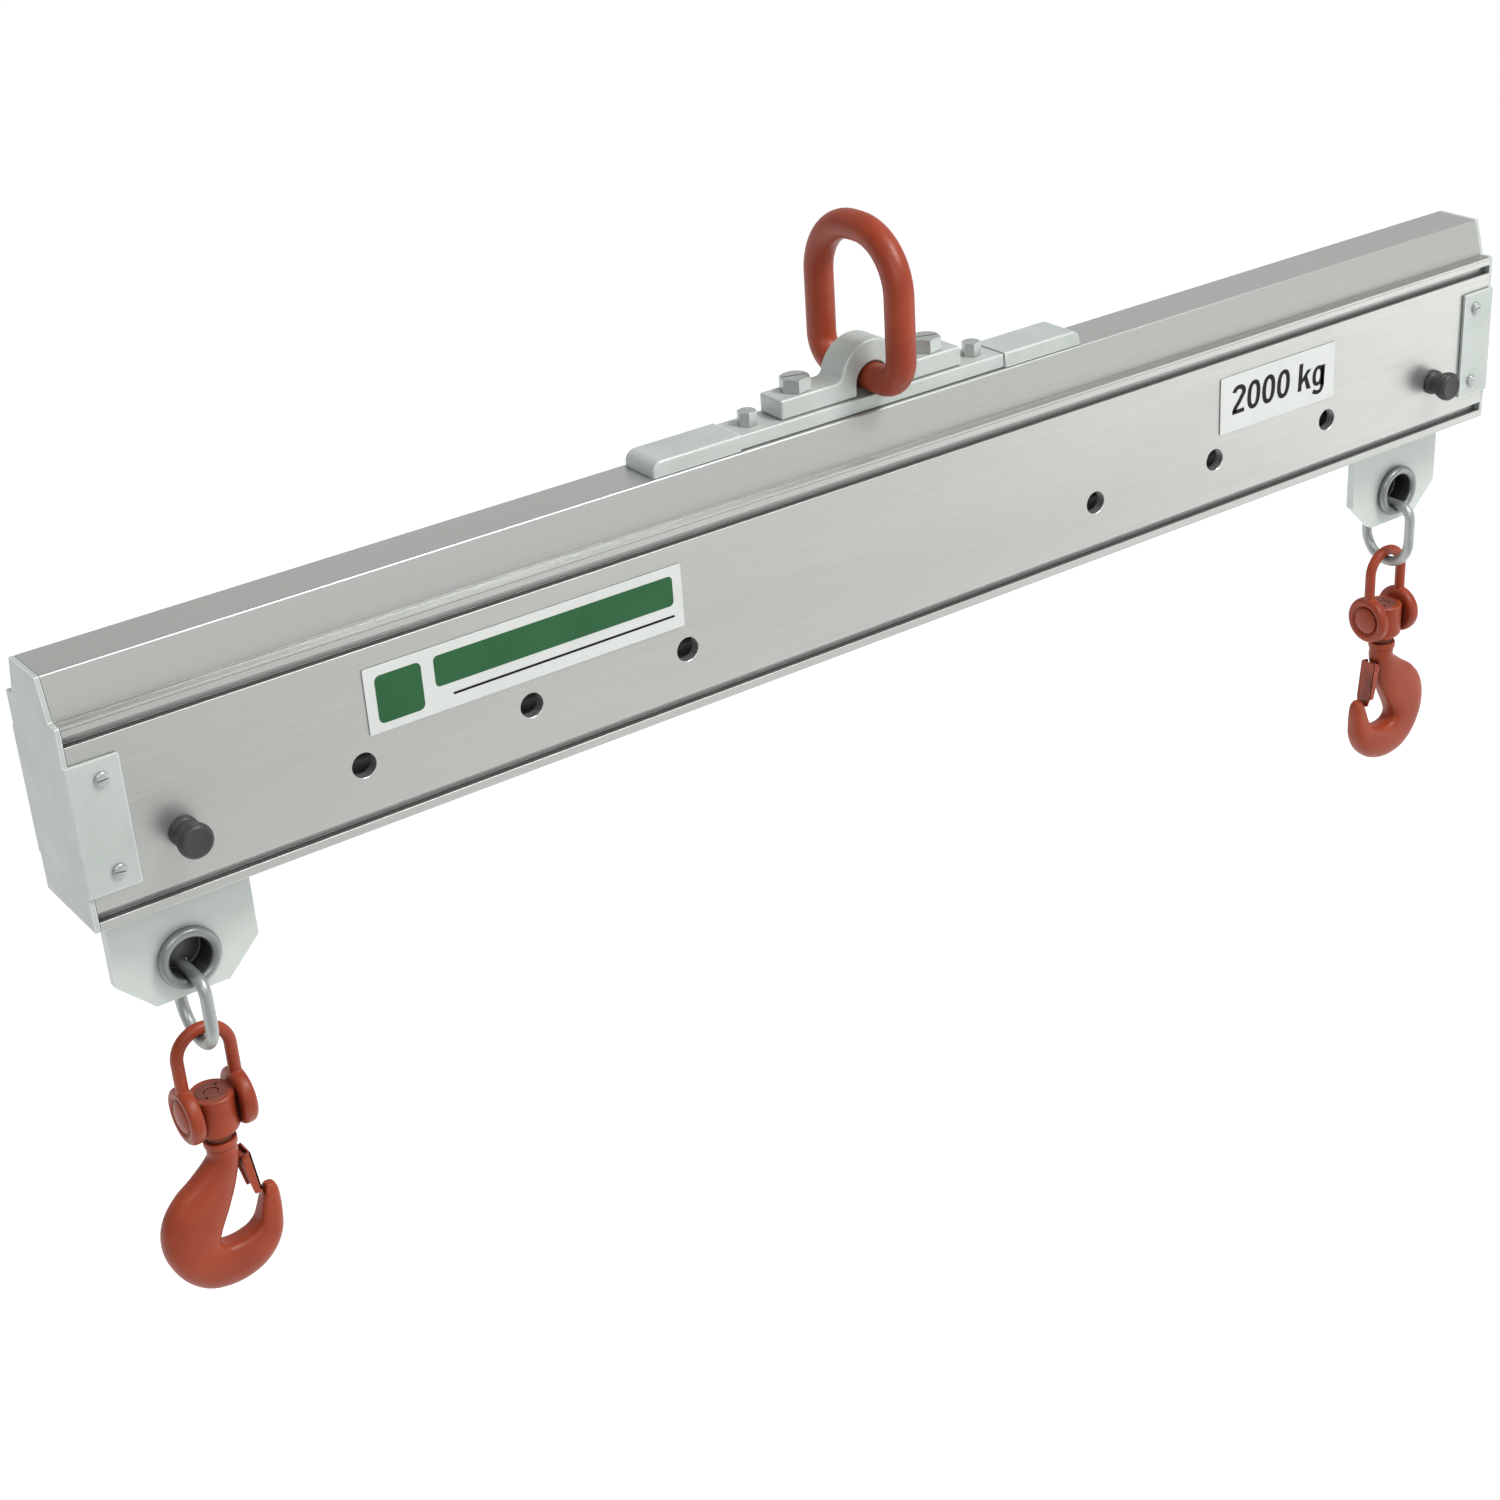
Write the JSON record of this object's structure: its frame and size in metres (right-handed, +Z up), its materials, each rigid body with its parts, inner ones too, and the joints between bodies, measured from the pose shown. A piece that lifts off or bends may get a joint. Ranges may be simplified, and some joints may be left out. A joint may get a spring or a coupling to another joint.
{
  "type": "spreader beam",
  "caption": "Aluminium spreader beam with a master link on a yoke and two swivel hooks on lugs pinned into its track.",
  "frame": {"origin": "seat of the crane hook, the inside top of the master link", "axes": "+X along the beam, the front face with the plates towards -Y, +Z up"},
  "size_m": [1.5086, 0.137, 0.746],
  "materials": {
    "brushed_aluminium": "extruded, brushed along its length, satin",
    "zinc_grey": "zinc plated steel, matt light grey",
    "orange_paint": "orange-red powder coat over a forging, semi gloss",
    "bolt_steel": "bright zinc plated fasteners",
    "ring_steel": "galvanised round wire, satin",
    "bush_steel": "rolled steel bush, dark satin",
    "black_plastic": "moulded, fine grain",
    "pin_steel": "ground stainless",
    "spring_steel": "drawn wire",
    "label_white": "white film plate, satin",
    "label_green": "green print",
    "label_black": "black print"
  },
  "bodies": {
    "master_link": {"master_link": "orange_paint"},
    "beam": {"beam_rail": "brushed_aluminium", "name_plate": "label_white", "capacity_plate": "label_white", "base_bar": "zinc_grey", "yoke": "zinc_grey", "left_end_plate": "zinc_grey", "left_front_lower_screw": "bolt_steel", "left_front_upper_screw": "bolt_steel", "left_rear_lower_screw": "bolt_steel", "left_rear_upper_screw": "bolt_steel", "left_base_pad": "zinc_grey", "left_yoke_bolt": "bolt_steel", "left_yoke_nut": "bolt_steel", "left_base_screw": "bolt_steel", "left_base_nut": "bolt_steel", "left_lug": "zinc_grey", "left_lug_bush": "bush_steel", "right_end_plate": "zinc_grey", "right_front_lower_screw": "bolt_steel", "right_front_upper_screw": "bolt_steel", "right_rear_lower_screw": "bolt_steel", "right_rear_upper_screw": "bolt_steel", "right_base_pad": "zinc_grey", "right_yoke_bolt": "bolt_steel", "right_yoke_nut": "bolt_steel", "right_base_screw": "bolt_steel", "right_base_nut": "bolt_steel", "right_lug": "zinc_grey", "right_lug_bush": "bush_steel"},
    "left_pin": {"left_pin_shank": "pin_steel", "left_pin_ball": "pin_steel", "left_pin_knob": "black_plastic"},
    "left_ring": {"left_ring": "ring_steel"},
    "left_bow": {"left_bow": "orange_paint"},
    "left_swivel": {"left_swivel_body": "orange_paint", "left_inner_trunnion_pin": "orange_paint", "left_outer_trunnion_pin": "orange_paint", "left_thrust_washer": "orange_paint"},
    "left_hook": {"left_hook": "orange_paint", "left_swivel_nut": "orange_paint", "left_latch_pin": "orange_paint", "left_latch_spring": "spring_steel"},
    "left_latch": {"left_latch": "orange_paint"},
    "right_pin": {"right_pin_shank": "pin_steel", "right_pin_ball": "pin_steel", "right_pin_knob": "black_plastic"},
    "right_ring": {"right_ring": "ring_steel"},
    "right_bow": {"right_bow": "orange_paint"},
    "right_swivel": {"right_swivel_body": "orange_paint", "right_inner_trunnion_pin": "orange_paint", "right_outer_trunnion_pin": "orange_paint", "right_thrust_washer": "orange_paint"},
    "right_hook": {"right_hook": "orange_paint", "right_swivel_nut": "orange_paint", "right_latch_pin": "orange_paint", "right_latch_spring": "spring_steel"},
    "right_latch": {"right_latch": "orange_paint"}
  },
  "joints": [
    {"name": "beam_swing", "type": "hinge", "parent": "master_link", "child": "beam", "pos_m": [0, 0, -0.11375], "axis": [0, 1, 0], "range_deg": [-80, 80]},
    {"name": "left_pin_pull", "type": "slide", "parent": "beam", "child": "left_pin", "axis": [0, -1, 0], "range_m": [0, 0.09]},
    {"name": "left_ring_swing", "type": "hinge", "parent": "beam", "child": "left_ring", "pos_m": [-0.675, 0, -0.42485], "axis": [0, 1, 0], "range_deg": [-72, 72]},
    {"name": "left_bow_swing", "type": "hinge", "parent": "left_ring", "child": "left_bow", "pos_m": [-0.675, 0, -0.4788], "axis": [1, 0, 0], "range_deg": [-80, 80]},
    {"name": "left_swivel_tilt", "type": "hinge", "parent": "left_bow", "child": "left_swivel", "pos_m": [-0.675, 0, -0.5508], "axis": [1, 0, 0], "range_deg": [-85, 85]},
    {"name": "left_hook_swivel", "type": "hinge", "parent": "left_swivel", "child": "left_hook", "pos_m": [-0.675, 0, -0.5855], "axis": [0, 0, 1], "continuous": true},
    {"name": "left_latch_open", "type": "hinge", "parent": "left_hook", "child": "left_latch", "pos_m": [-0.6608, 0, -0.6085], "axis": [0, 1, 0], "range_deg": [0, 30], "stiffness_Nm_per_rad": 0.06, "springref_deg": -28.65},
    {"name": "right_pin_pull", "type": "slide", "parent": "beam", "child": "right_pin", "axis": [0, -1, 0], "range_m": [0, 0.09]},
    {"name": "right_ring_swing", "type": "hinge", "parent": "beam", "child": "right_ring", "pos_m": [0.675, 0, -0.42485], "axis": [0, 1, 0], "range_deg": [-72, 72]},
    {"name": "right_bow_swing", "type": "hinge", "parent": "right_ring", "child": "right_bow", "pos_m": [0.675, 0, -0.4788], "axis": [1, 0, 0], "range_deg": [-80, 80]},
    {"name": "right_swivel_tilt", "type": "hinge", "parent": "right_bow", "child": "right_swivel", "pos_m": [0.675, 0, -0.5508], "axis": [1, 0, 0], "range_deg": [-85, 85]},
    {"name": "right_hook_swivel", "type": "hinge", "parent": "right_swivel", "child": "right_hook", "pos_m": [0.675, 0, -0.5855], "axis": [0, 0, 1], "continuous": true},
    {"name": "right_latch_open", "type": "hinge", "parent": "right_hook", "child": "right_latch", "pos_m": [0.6608, 0, -0.6085], "axis": [0, -1, 0], "range_deg": [0, 30], "stiffness_Nm_per_rad": 0.06, "springref_deg": -28.65}
  ]
}
